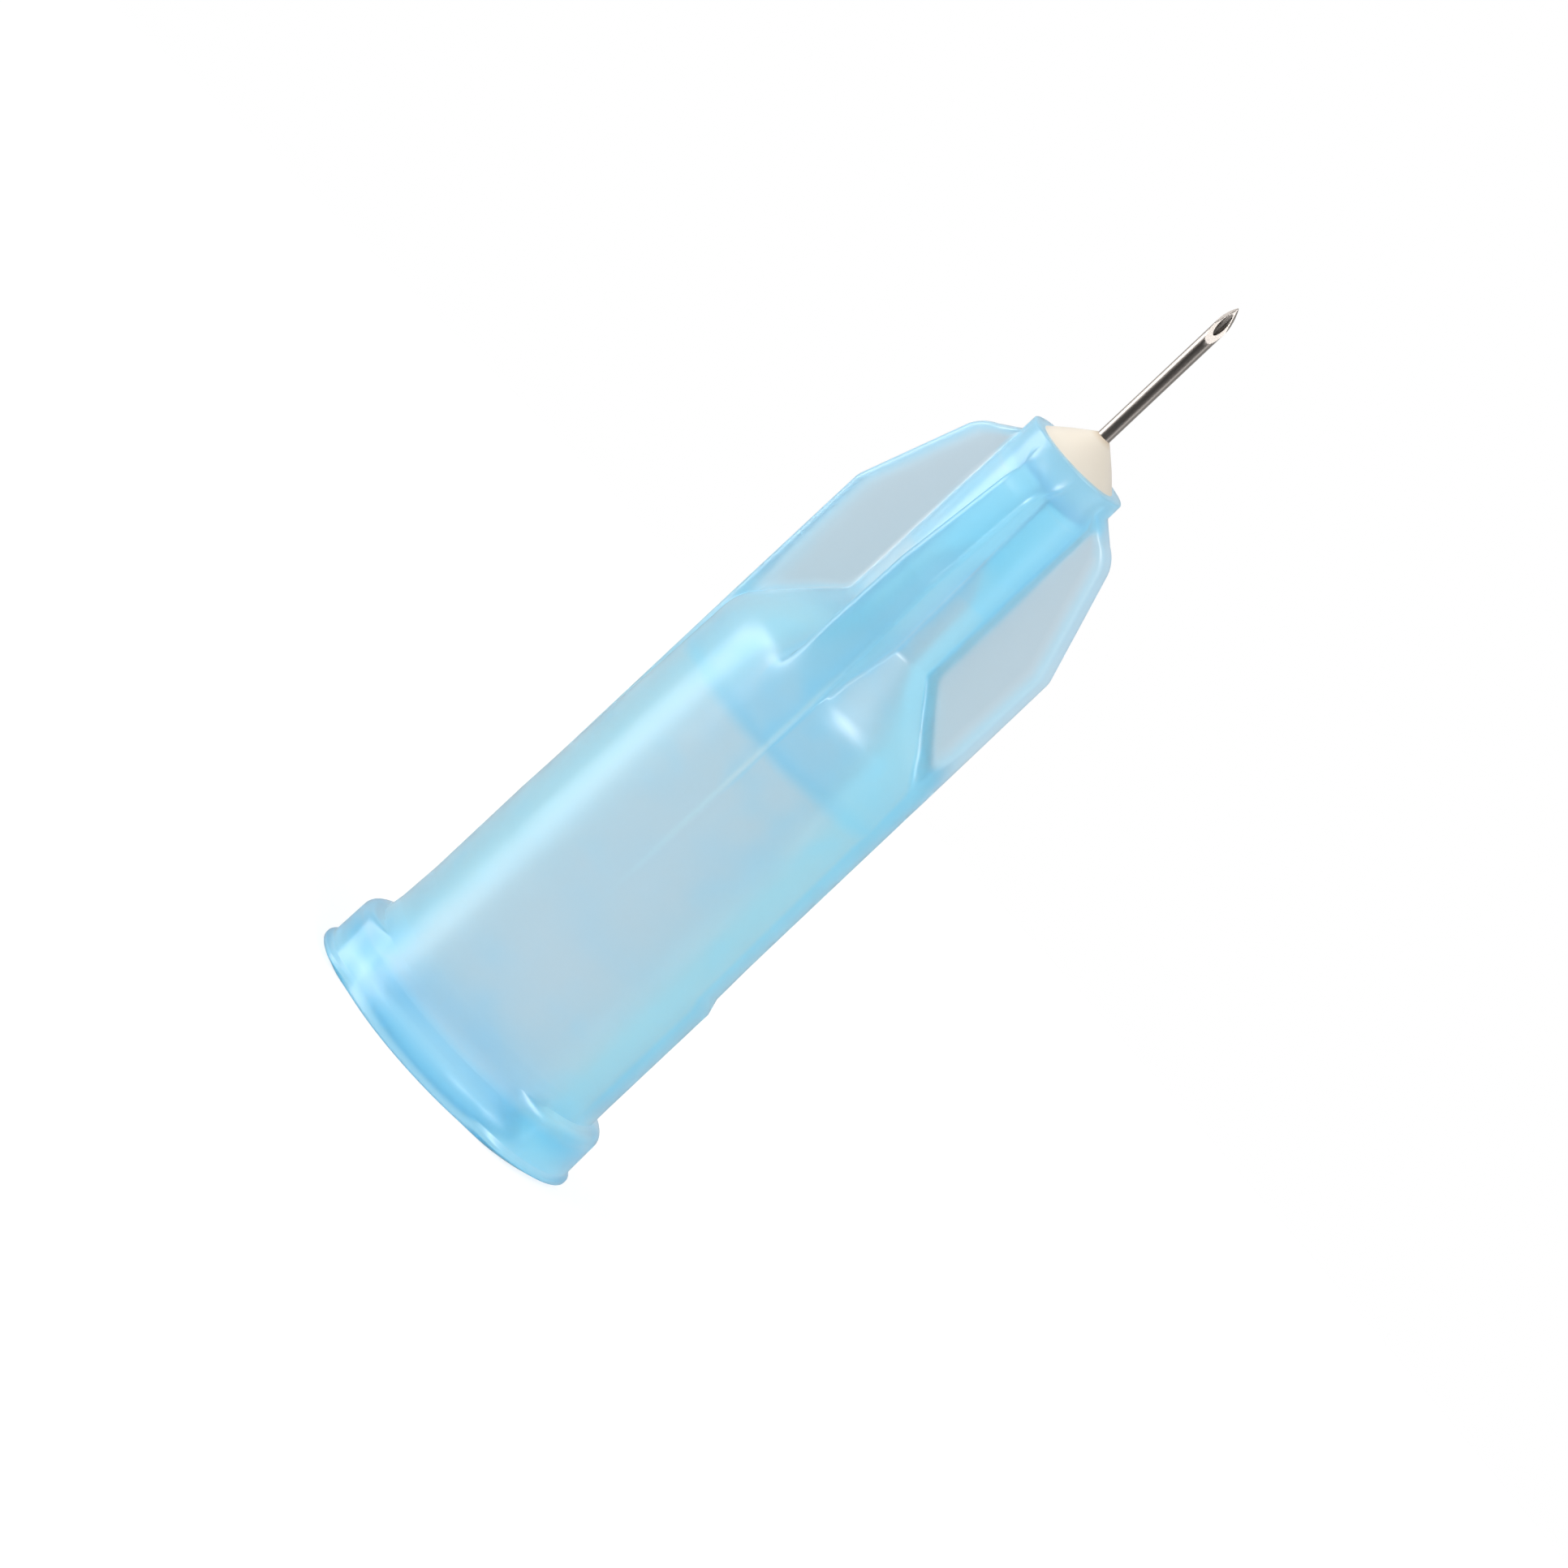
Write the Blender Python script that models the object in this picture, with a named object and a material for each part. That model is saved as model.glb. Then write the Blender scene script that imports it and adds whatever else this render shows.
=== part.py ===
"""Mesotherapy needle: a short fine cannula glued into a blue winged hub with a Luer-lock socket.

The needle stands on the rear face of its hub. +Z runs along the cannula towards the point, the origin
is the centre of the rear face, and the four fins point along +X, -X, +Y and -Y.
Three pieces: the moulded hub, the resin that fills the well in its nose, and the steel cannula.
"""
import math

import bmesh
import bpy
from mathutils import Matrix, Vector

MM = 0.001

# Cannula: stainless tube with a lancet point
CANNULA_DIAMETER = 0.35 * MM
LUMEN_DIAMETER = 0.19 * MM
CANNULA_REACH = 5.00 * MM         # from the nose rim to the point
CANNULA_CLEARANCE = 0.01 * MM     # film of glue round the cannula
BEVEL_ANGLE = math.radians(18.0)
BEVEL_FACING = math.radians(-67)  # direction that the bevel faces, from +X about +Z
LANCET_ANGLE = math.radians(24.0)
LANCET_TURN = math.radians(38)
LANCET_DEPTH = 0.03 * MM          # length that the side facets take off the point

# Inside of the hub, from the rear: socket with the 6 % Luer taper, a step, a funnel, the narrow chamber
# behind the cannula, the bore that holds it, and the resin well in the nose
SOCKET_MOUTH_DIAMETER = 4.30 * MM
LUER_TAPER = 0.06                 # change of diameter for each unit of length
SOCKET_DEPTH = 10.60 * MM
SOCKET_LEAD_IN = 0.10 * MM
STEP_LENGTH = 1.60 * MM
STEP_RADIUS = 1.55 * MM
STEP_DRAFT = 0.10 * MM
STEP_ROUND = 0.12 * MM
FUNNEL_LENGTH = 1.70 * MM
CHAMBER_LENGTH = 2.20 * MM
CHAMBER_RADIUS = 0.68 * MM
CHAMBER_DRAFT = 0.08 * MM
CHAMBER_CONE = 0.45 * MM          # length of the cone that closes the chamber round the cannula
BORE_LENGTH = 2.30 * MM
WELL_FLOOR_CONE = 0.20 * MM
WELL_DEPTH = 0.95 * MM
WELL_RADIUS = 1.04 * MM
WELL_DRAFT = 0.05 * MM

FUNNEL_START = SOCKET_DEPTH + STEP_LENGTH
FUNNEL_END = FUNNEL_START + FUNNEL_LENGTH
CHAMBER_END = FUNNEL_END + CHAMBER_LENGTH
WELL_FLOOR = CHAMBER_END + CHAMBER_CONE + BORE_LENGTH + WELL_FLOOR_CONE
HUB_LENGTH = WELL_FLOOR + WELL_DEPTH
BORE_RADIUS = CANNULA_DIAMETER / 2 + CANNULA_CLEARANCE
CANNULA_OVERLAP = 0.10 * MM       # length of cannula that stands inside the chamber's cone
CANNULA_START = CHAMBER_END + CHAMBER_CONE - CANNULA_OVERLAP

# Barrel, with its draft, and the shoulder cone that leads to the nose
BARREL_WALL = 1.11 * MM           # round the socket's mouth
BARREL_RADIUS = SOCKET_MOUTH_DIAMETER / 2 + BARREL_WALL
FLARE = 0.11 * MM                 # the barrel widens by this much towards the collar
FLARE_RADIUS = BARREL_RADIUS + FLARE
FLARE_LENGTH = 1.50 * MM
FLARE_BEND = 0.4                  # share of the flare that is left at a third of its length
RIB_START = 5.70 * MM             # from about here the fins' edges rise out of the barrel as shallow ribs
RIB_SINK = 0.01 * MM              # depth at which the ribs' edge starts under the barrel's surface
REAR_DRAFT = 0.01 * MM            # fall of the barrel's radius as far as the ribs
FRONT_DRAFT = 0.16 * MM           # and from there to the shoulder
BARREL_RIB_RADIUS = BARREL_RADIUS - REAR_DRAFT
BARREL_FRONT_RADIUS = BARREL_RIB_RADIUS - FRONT_DRAFT
SHOULDER_LEAD = 0.15 * MM         # the shoulder starts this far ahead of the funnel inside it
SHOULDER_START = FUNNEL_START + SHOULDER_LEAD
SHOULDER_ANGLE = math.radians(40)  # between the shoulder cone and the axis
SHOULDER_ROUND = 0.70 * MM
NOSE_WALL = 0.35 * MM             # round the resin well
NOSE_RIM_RADIUS = WELL_RADIUS + NOSE_WALL
NOSE_DRAFT = 0.08 * MM
NOSE_REAR_RADIUS = NOSE_RIM_RADIUS + NOSE_DRAFT
NOSE_EDGE = 0.05 * MM
NECK_ROUND = 0.20 * MM

# Collar at the rear: a ring with a small step, and two locking lugs on its +X and -X sides
RING_PROUD = 0.11 * MM
RING_RADIUS = FLARE_RADIUS + RING_PROUD
RING_STEP = 0.04 * MM
RING_STEP_HEIGHT = 0.60 * MM
RING_HEIGHT = 1.10 * MM
RING_EDGE = 0.08 * MM
COLLAR_HEIGHT = 1.50 * MM         # where the collar's rounded front meets the barrel
LUG_LIP_RADIUS = 3.90 * MM        # thin lip at the rear of each lug, the widest point of the hub
LUG_LIP = 0.13 * MM
LUG_RADIUS = LUG_LIP_RADIUS - LUG_LIP
LUG_SIDE_DRAFT = 0.02 * MM
LUG_LIP_START = 0.13 * MM
LUG_LIP_END = 0.23 * MM
LUG_SIDE_START = 0.33 * MM
LUG_REAR_CHAMFER = 0.34 * MM
LUG_CORNER_RADIUS = 0.27 * MM
LUG_REAR_SPAN = math.radians(97)
LUG_FRONT_SPAN = math.radians(80)

# Fins: four, thinner towards the front, with a long taper and a round corner at the nose
FIN_THICKNESS = 1.22 * MM
FIN_FRONT_THICKNESS = 0.84 * MM
FIN_EDGE_DRAFT = 0.05 * MM        # fall of the edge from where the ribs start to the kink
FIN_KINK_RADIUS = BARREL_RIB_RADIUS - FIN_EDGE_DRAFT
FIN_STRAIGHT = 3.75 * MM          # from the shoulder's start to the kink in the fins' edge
FIN_KINK_HEIGHT = SHOULDER_START + FIN_STRAIGHT
FIN_TAPER = math.radians(18.5)
FIN_CROWN_ANGLE = math.radians(63)
FIN_CORNER_RADIUS = 0.90 * MM
FIN_SETBACK = 0.55 * MM           # of the fins' crown behind the nose rim
FIN_END_HEIGHT = HUB_LENGTH - FIN_SETBACK

# Low pad moulded on the +X side of the barrel
PAD_HEIGHT = 0.12 * MM
PAD_END = 5.25 * MM
PAD_SLOPE = 0.35 * MM
PAD_SPAN = math.radians(40)

# Cured resin: it fills the well and rises round the cannula
RESIN_CLEARANCE = 0.01 * MM
DOME_HEIGHT = 0.72 * MM           # above the nose rim
DOME_CROWN = 0.03 * MM            # how far the dome's side bulges past a straight cone
MENISCUS_WIDTH = 0.08 * MM        # ring of resin that creeps up the cannula
MENISCUS_HEIGHT = 0.06 * MM

HUB_SEGMENTS = 48
CANNULA_SEGMENTS = 24
ARC_STEPS = 4
CUT_MARGIN = 0.50 * MM            # how far cutters run past the surfaces that they cut
GRIP = 0.25 * MM                  # how deep the root of a lug, a pad or a fin is sunk into the wall
SHARP_EDGE = math.radians(25)


def arc(centre, radius, start, end):
    """Points (r, z) along an arc; angles are measured from +r towards +z."""
    turns = [start + (end - start) * i / ARC_STEPS for i in range(ARC_STEPS + 1)]
    return [(centre[0] + radius * math.cos(a), centre[1] + radius * math.sin(a)) for a in turns]


def rounded(before, corner, after, radius):
    """The corner of an (r, z) outline replaced by an arc tangent to both of its sides."""
    a = Vector(before) - Vector(corner)
    b = Vector(after) - Vector(corner)
    half = a.angle(b) / 2
    reach = min(radius / math.tan(half), 0.49 * a.length, 0.49 * b.length)
    a.normalize()
    b.normalize()
    middle = Vector(corner) + (a + b).normalized() * reach / math.cos(half)
    first = Vector(corner) + a * reach - middle
    turn = first.angle_signed(Vector(corner) + b * reach - middle)
    angle = math.atan2(first.y, first.x)
    return arc(middle, first.length, angle, angle - turn)


def crossing(point_a, direction_a, point_b, direction_b):
    """Where two lines of the (r, z) plane meet."""
    gap = point_b - point_a
    along = gap.cross(direction_b) / direction_a.cross(direction_b)
    return point_a + direction_a * along


def material(name, colour, roughness, metallic=0.0, transmission=0.0):
    mat = bpy.data.materials.new(name)
    mat.use_nodes = True
    shader = mat.node_tree.nodes["Principled BSDF"]
    shader.inputs["Base Color"].default_value = (*colour, 1)
    shader.inputs["Roughness"].default_value = roughness
    shader.inputs["Metallic"].default_value = metallic
    shader.inputs["Transmission Weight"].default_value = transmission
    return mat


def new_object(name, bm, mat=None):
    """One object at the origin from a bmesh, shaded smooth but for its real edges."""
    mesh = bpy.data.meshes.new(name)
    bm.to_mesh(mesh)
    bm.free()
    mesh.shade_smooth()
    mesh.set_sharp_from_angle(angle=SHARP_EDGE)
    if mat:
        mesh.materials.append(mat)
    obj = bpy.data.objects.new(name, mesh)
    bpy.context.collection.objects.link(obj)
    return obj


def helper(obj):
    """Marks an object that only shapes another one."""
    obj.hide_render = True
    obj.display_type = "WIRE"
    return obj


def combine(obj, tool, operation):
    """Boolean of one object with another, kept as a modifier."""
    step = obj.modifiers.new(tool.name, "BOOLEAN")
    step.operation = operation
    step.solver = "EXACT"
    step.object = tool


def ring(bm, radius, height, segments):
    """Vertices of one circle about Z; a radius of nothing gives the same point each time."""
    if radius == 0:
        return [bm.verts.new((0, 0, height))] * segments
    angles = [math.tau * i / segments for i in range(segments)]
    return [bm.verts.new((radius * math.cos(a), radius * math.sin(a), height)) for a in angles]


def skin(bm, upper, lower):
    """Faces between two circles, closed to triangles where one of them is a point."""
    for i in range(len(upper)):
        j = (i + 1) % len(upper)
        corners = (upper[i], lower[i], lower[j], upper[j])
        bm.faces.new(list(dict.fromkeys(corners)))


def turned(name, outline, mat=None):
    """Solid of revolution about Z; the (r, z) outline runs from its top on the axis to its foot."""
    bm = bmesh.new()
    rings = [ring(bm, radius, height, HUB_SEGMENTS) for radius, height in outline]
    for upper, lower in zip(rings, rings[1:]):
        skin(bm, upper, lower)
    return new_object(name, bm, mat)


def tube(name, section, segments, mat):
    """Ring about Z whose closed (r, z) section runs down its outer side and up its inner one."""
    bm = bmesh.new()
    rings = [ring(bm, radius, height, segments) for radius, height in section]
    for upper, lower in zip(rings, rings[1:] + rings[:1]):
        skin(bm, upper, lower)
    return new_object(name, bm, mat)


def sector(name, section, centre, span_at, steps):
    """Part turn about Z of a closed (r, z) section, with flat ends; span_at gives its angle at a height."""
    bm = bmesh.new()
    slices = []
    for k in range(steps + 1):
        points = []
        for radius, height in section:
            a = centre + span_at(height) * (k / steps - 0.5)
            points.append(bm.verts.new((radius * math.cos(a), radius * math.sin(a), height)))
        slices.append(points)
    for first, second in zip(slices, slices[1:]):
        for i in range(len(section)):
            j = (i + 1) % len(section)
            bm.faces.new((first[i], first[j], second[j], second[i]))
    bm.faces.new(slices[0][::-1])
    bm.faces.new(slices[-1])
    bmesh.ops.recalc_face_normals(bm, faces=bm.faces)
    return helper(new_object(name, bm))


def barrel_outline():
    """Outer profile of the hub without its fins and lugs, from the nose rim down to the rear face."""
    cone_length = (BARREL_FRONT_RADIUS - NOSE_REAR_RADIUS) / math.tan(SHOULDER_ANGLE)
    rim = (NOSE_RIM_RADIUS, HUB_LENGTH - NOSE_EDGE)
    neck = (NOSE_REAR_RADIUS, SHOULDER_START + cone_length)
    shoulder = (BARREL_FRONT_RADIUS, SHOULDER_START)
    rib = (BARREL_RIB_RADIUS, RIB_START)
    ring_front = RING_RADIUS - RING_STEP
    outline = [(0, HUB_LENGTH), (NOSE_RIM_RADIUS - NOSE_EDGE, HUB_LENGTH), rim]
    outline += rounded(rim, neck, shoulder, NECK_ROUND)
    outline += rounded(neck, shoulder, rib, SHOULDER_ROUND)
    outline += [rib, (BARREL_RADIUS, COLLAR_HEIGHT + FLARE_LENGTH)]
    outline += [(BARREL_RADIUS + FLARE * FLARE_BEND, COLLAR_HEIGHT + FLARE_LENGTH / 3)]
    outline += [(FLARE_RADIUS, COLLAR_HEIGHT), (ring_front, RING_HEIGHT)]
    outline += [(ring_front, RING_STEP_HEIGHT + RING_STEP), (RING_RADIUS, RING_STEP_HEIGHT)]
    outline += [(RING_RADIUS, RING_EDGE), (RING_RADIUS - RING_EDGE, 0), (0, 0)]
    return outline


def lug_section():
    """Section of a lug: round front corner, drafted side, thin lip and rear chamfer."""
    root = FLARE_RADIUS - GRIP
    top = (root, COLLAR_HEIGHT)
    side = (LUG_RADIUS + LUG_SIDE_DRAFT, LUG_SIDE_START)
    outline = [top] + rounded(top, (LUG_RADIUS, COLLAR_HEIGHT), side, LUG_CORNER_RADIUS)
    outline += [side, (LUG_LIP_RADIUS, LUG_LIP_END), (LUG_LIP_RADIUS, LUG_LIP_START)]
    outline += [(LUG_LIP_RADIUS - LUG_REAR_CHAMFER, 0), (root, 0)]
    return outline


def lug_span(height):
    """Angle that a lug covers at a height: its ends lean in towards the front."""
    return LUG_REAR_SPAN + (LUG_FRONT_SPAN - LUG_REAR_SPAN) * height / COLLAR_HEIGHT


def pad_section():
    outer = BARREL_RADIUS + PAD_HEIGHT
    root = BARREL_RADIUS - GRIP
    slope_end = PAD_END + PAD_SLOPE
    return [(root, slope_end), (BARREL_RIB_RADIUS, slope_end), (outer, PAD_END),
            (outer, COLLAR_HEIGHT), (root, COLLAR_HEIGHT)]


def pad_span(height):
    return PAD_SPAN


def fin_envelope():
    """Turned outline that the four fins fill: nearly straight edge, long taper, round corner, crown."""
    kink = Vector((FIN_KINK_RADIUS, FIN_KINK_HEIGHT))
    foot = Vector((NOSE_RIM_RADIUS, FIN_END_HEIGHT))
    taper = Vector((-math.sin(FIN_TAPER), math.cos(FIN_TAPER)))
    crown = Vector((-math.sin(FIN_CROWN_ANGLE), math.cos(FIN_CROWN_ANGLE)))
    corner = crossing(kink, taper, foot, crown)
    apex = foot + crown * GRIP
    sunk = (BARREL_RIB_RADIUS - RIB_SINK, RIB_START - CUT_MARGIN)
    outline = [(0, apex.y), tuple(apex)]
    outline += rounded(apex, corner, kink, FIN_CORNER_RADIUS)
    outline += [tuple(kink), sunk, (0, sunk[1])]
    return helper(turned("fin_envelope", outline))


def fin_plate(name, turn):
    """Plate through the axis, of even thickness along the barrel and thinner towards the nose."""
    reach = BARREL_RADIUS + CUT_MARGIN
    levels = [(RIB_START - 2 * CUT_MARGIN, FIN_THICKNESS / 2), (SHOULDER_START, FIN_THICKNESS / 2),
              (FIN_END_HEIGHT + CUT_MARGIN, FIN_FRONT_THICKNESS / 2)]
    bm = bmesh.new()
    rings = []
    for height, side in levels:
        corners = ((-reach, side), (reach, side), (reach, -side), (-reach, -side))
        rings.append([bm.verts.new((x, y, height)) for x, y in corners])
    for lower, upper in zip(rings, rings[1:]):
        skin(bm, lower, upper)
    bm.faces.new(rings[0])
    bm.faces.new(rings[-1][::-1])
    bm.transform(Matrix.Rotation(turn, 4, "Z"))
    return helper(new_object(name, bm))


def make_fins():
    """Two crossed plates, cut to the fins' outline."""
    fins = fin_plate("fin_plate_x", 0)
    combine(fins, fin_plate("fin_plate_y", math.pi / 2), "UNION")
    combine(fins, fin_envelope(), "INTERSECT")
    return fins


def well_outline(clearance):
    """Side and floor of the resin well, from the rim down to the cannula's bore."""
    return [(WELL_RADIUS - clearance, HUB_LENGTH),
            (WELL_RADIUS - WELL_DRAFT - clearance, WELL_FLOOR + clearance),
            (BORE_RADIUS + clearance, WELL_FLOOR - WELL_FLOOR_CONE + clearance)]


def make_cavity():
    """Everything that is hollow in the hub, as one turned cutter that runs past both ends."""
    mouth = SOCKET_MOUTH_DIAMETER / 2
    socket_floor = mouth - SOCKET_DEPTH * LUER_TAPER / 2
    outline = [(0, HUB_LENGTH + CUT_MARGIN), (WELL_RADIUS, HUB_LENGTH + CUT_MARGIN)] + well_outline(0)
    outline += [(BORE_RADIUS, WELL_FLOOR - WELL_FLOOR_CONE - BORE_LENGTH)]
    outline += [(CHAMBER_RADIUS - CHAMBER_DRAFT, CHAMBER_END), (CHAMBER_RADIUS, FUNNEL_END)]
    outline += [(STEP_RADIUS - STEP_DRAFT, FUNNEL_START), (STEP_RADIUS, SOCKET_DEPTH + STEP_ROUND)]
    outline += [(STEP_RADIUS + STEP_ROUND, SOCKET_DEPTH), (socket_floor, SOCKET_DEPTH)]
    outline += [(mouth - SOCKET_LEAD_IN * LUER_TAPER / 2, SOCKET_LEAD_IN), (mouth + SOCKET_LEAD_IN, 0)]
    outline += [(mouth + SOCKET_LEAD_IN, -CUT_MARGIN), (0, -CUT_MARGIN)]
    return helper(turned("cavity", outline))


def make_hub():
    """Blue polypropylene moulding: barrel, collar with two lugs, pad, four fins, socket and well."""
    blue = material("blue_polypropylene", (0.24, 0.66, 0.91), 0.25, transmission=0.6)
    hub = turned("hub", barrel_outline(), blue)
    combine(hub, make_fins(), "UNION")
    for name, side in (("lug_right", 0), ("lug_left", math.pi)):
        combine(hub, sector(name, lug_section(), side, lug_span, HUB_SEGMENTS // 4), "UNION")
    combine(hub, sector("pad", pad_section(), 0, pad_span, HUB_SEGMENTS // 8), "UNION")
    combine(hub, make_cavity(), "DIFFERENCE")


def make_resin_plug():
    """Cream epoxy cured in the well: a low dome that ends in a ring round the cannula."""
    cream = material("cured_epoxy", (0.85, 0.78, 0.66), 0.35)
    top = HUB_LENGTH + DOME_HEIGHT
    rim, side, floor = well_outline(RESIN_CLEARANCE)
    neck = BORE_RADIUS + MENISCUS_WIDTH
    crown = (BORE_RADIUS + MENISCUS_WIDTH / 4, top + MENISCUS_HEIGHT)
    slope = ((rim[0] + neck) / 2 + DOME_CROWN, (rim[1] + top) / 2 + DOME_CROWN)
    section = [(BORE_RADIUS, crown[1]), crown, (neck, top), slope, rim, side, floor, (BORE_RADIUS, floor[1])]
    tube("resin_plug", section, HUB_SEGMENTS, cream)


def grinding_block(name, angle, turn, height):
    """Block whose flat face grinds the point; it crosses the side away from the bevel at a height."""
    bm = bmesh.new()
    bmesh.ops.create_cube(bm, size=CANNULA_REACH)
    bmesh.ops.translate(bm, verts=bm.verts, vec=(CANNULA_REACH / 2, 0, 0))
    lift = CANNULA_DIAMETER / 2 * (1 - math.cos(turn)) / math.tan(angle)
    face = Matrix.Translation((-CANNULA_DIAMETER / 2, 0, height + lift)) @ Matrix.Rotation(-angle, 4, "Y")
    bm.transform(Matrix.Rotation(BEVEL_FACING + turn, 4, "Z") @ face)
    return helper(new_object(name, bm))


def make_cannula():
    """Stainless tube, ground to one long bevel and two side facets that meet in the point."""
    steel = material("stainless_steel", (0.62, 0.61, 0.60), 0.22, metallic=1.0)
    outer, inner = CANNULA_DIAMETER / 2, LUMEN_DIAMETER / 2
    tip = HUB_LENGTH + CANNULA_REACH
    blank = tip + CUT_MARGIN
    section = [(inner, blank), (outer, blank), (outer, CANNULA_START), (inner, CANNULA_START)]
    cannula = tube("cannula", section, CANNULA_SEGMENTS, steel)
    combine(cannula, grinding_block("bevel", BEVEL_ANGLE, 0, tip), "DIFFERENCE")
    for name, turn in (("facet_right", -LANCET_TURN), ("facet_left", LANCET_TURN)):
        combine(cannula, grinding_block(name, LANCET_ANGLE, turn, tip - LANCET_DEPTH), "DIFFERENCE")


for old in list(bpy.data.objects):
    bpy.data.objects.remove(old)
make_hub()
make_resin_plug()
make_cannula()
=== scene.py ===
"""Looks of the mesotherapy needle: blue moulded hub, cured resin and steel cannula on a pale floor."""
import math

import bmesh
import bpy
import numpy as np
from bpy.props import FloatProperty, FloatVectorProperty, IntProperty, PointerProperty
from bpy.types import Operator, Panel, PropertyGroup
from mathutils import Matrix, Vector


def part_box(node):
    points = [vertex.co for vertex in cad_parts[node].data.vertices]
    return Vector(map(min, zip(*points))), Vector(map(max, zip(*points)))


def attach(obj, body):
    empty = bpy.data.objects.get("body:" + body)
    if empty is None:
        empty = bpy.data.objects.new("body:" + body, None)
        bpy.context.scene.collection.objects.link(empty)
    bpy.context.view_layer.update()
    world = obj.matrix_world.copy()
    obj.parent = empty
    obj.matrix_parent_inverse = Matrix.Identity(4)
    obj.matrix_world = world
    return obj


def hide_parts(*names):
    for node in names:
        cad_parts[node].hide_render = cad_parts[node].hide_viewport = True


bl_info = {
    "name": "Mesotherapy needle",
    "version": (1, 0, 0),
    "blender": (4, 5, 0),
    "location": "View3D > Sidebar > Needle",
    "description": "Builds the hub, the resin and the cannula of a mesotherapy needle round its packed model",
    "category": "Add Mesh",
}

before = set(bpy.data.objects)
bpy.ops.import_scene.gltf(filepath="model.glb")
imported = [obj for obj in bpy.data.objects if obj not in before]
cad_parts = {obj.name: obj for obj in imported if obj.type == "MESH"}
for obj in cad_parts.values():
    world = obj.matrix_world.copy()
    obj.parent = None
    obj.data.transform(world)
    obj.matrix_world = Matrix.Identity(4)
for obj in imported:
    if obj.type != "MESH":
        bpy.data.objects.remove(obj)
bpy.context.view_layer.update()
HUB_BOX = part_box("hub")
RESIN_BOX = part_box("resin_plug")
CANNULA_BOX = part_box("cannula")

MM = 0.001
BODY = "root"

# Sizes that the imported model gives
HUB_LENGTH = HUB_BOX[1][2]
LUG_LIP_RADIUS = HUB_BOX[1][0]
RING_RADIUS = HUB_BOX[1][1]
DOME_TOP = RESIN_BOX[1][2]
RESIN_FLOOR = RESIN_BOX[0][2]
POINT = CANNULA_BOX[1][2]
CANNULA_START = CANNULA_BOX[0][2]
CANNULA_RADIUS = (CANNULA_BOX[1][1] - CANNULA_BOX[0][1]) / 2

# Mesh steps from the middle of a fin's edge: its edge, corner, border, flank, root, and the body beside it
OCTANT_STEPS = (5, 6, 4, 8, 8, 12)
ROW_GAP, LEAST_GAP = 0.4 * MM, 0.008 * MM  # between the rings of points up the hub
MERGE = 0.0002 * MM

# Small sizes that several outlines share
LAP = 0.004 * MM  # how far neighbouring pieces run into each other, so that no gap shows
FINE_ROUND = 0.05 * MM
SLIGHT_BEND = 0.6 * MM
GENTLE_BEND = 1.0 * MM

# How far ahead of the shoulder's start the low ribs' shapes and colours have turned into the fins'
COLOUR_BLEND, ROOT_BLEND, RIB_BLEND = 0.5 * MM, 1.0 * MM, 1.2 * MM
WINDOW_BLEND = (1.5 * MM, 2.2 * MM)

# Rise out of the turned body from which a point is on a fin, and the rises over which colours fade in
FIN_RISE, FIN_FADE, WINDOW_FADE = 0.02 * MM, 0.06 * MM, 0.35 * MM

# Colour changes up the hub, from its rear face: start, end, share before and share after
COLLAR_CHANGE = (1.35 * MM, 1.00 * MM, 0.0, 1.0)
REAR_CHANGE = (0.80 * MM, 0.20 * MM, 0.0, 1.0)
RIM_CHANGE = (18.6 * MM, 19.0 * MM, 0.0, 1.0)

# The same from the socket's floor, for the bluer ring where the floor meets the wall
RING_START = (-0.05 * MM, 0.35 * MM, 0.0, 0.8)
RING_SETTLE = (0.35 * MM, 0.80 * MM, 1.0, 0.5)
RING_END = (0.40 * MM, 2.20 * MM, 1.0, 0.0)

# Lamps: turn from the camera and elevation in degrees, width and height in metres, brightness against white
LAMPS = {
    "left_softbox": (-84, 6, 0.28, 0.34, 1.3),
    "left_core": (-87, 6, 0.15, 0.34, 4.0),
    "right_softbox": (75, 6, 0.12, 0.34, 1.0),
    "top_softbox": (38, 46, 0.17, 0.16, 4.0),
    "top_left_softbox": (-44, 48, 0.08, 0.12, 3.0),
    "point_softbox": (21, 27, 0.07, 0.07, 3.0),
}
GLINT_LAMPS = {"right_glint": (36, 48, 0.10, 0.10, 8.0), "left_glint": (-82, 34, 0.05, 0.05, 6.0)}
LAMP_DISTANCE = 300 * MM
LAMP_TARGET = Vector((0, 0, 12.5 * MM))

# Levels of white that gloss sees round the room: start and end as cosines, level before and level after
SIDES_LEVEL = (0.2, 0.8, 0.36, 0.02)
BEHIND_LEVEL = (-0.4, -0.8, 0.0, 0.25)
UNDER_LEVEL = (-0.5, -0.2, 0.2, 1.0)

WHITE = (1, 1, 1, 1)


def srgb(code):
    """Linear colour of an sRGB hex code."""
    channels = [int(code[i:i + 2], 16) / 255 for i in (1, 3, 5)]
    return [c / 12.92 if c <= 0.04045 else ((c + 0.055) / 1.055) ** 2.4 for c in channels]


def length(title, description, millimetres):
    return FloatProperty(name=title, description=description, default=millimetres * MM, subtype="DISTANCE",
                         unit="LENGTH", precision=5)


def angle(title, description, degrees):
    return FloatProperty(name=title, description=description, default=math.radians(degrees), subtype="ANGLE",
                         unit="ROTATION")


def colour(title, description, code):
    return FloatVectorProperty(name=title, description=description, default=srgb(code), subtype="COLOR",
                               size=3, min=0, max=1)


def share(title, description, default, highest=1.0):
    return FloatProperty(name=title, description=description, default=default, min=0, max=highest)


def count(title, description, default, lowest, highest):
    return IntProperty(name=title, description=description, default=default, min=lowest, max=highest)


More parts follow.
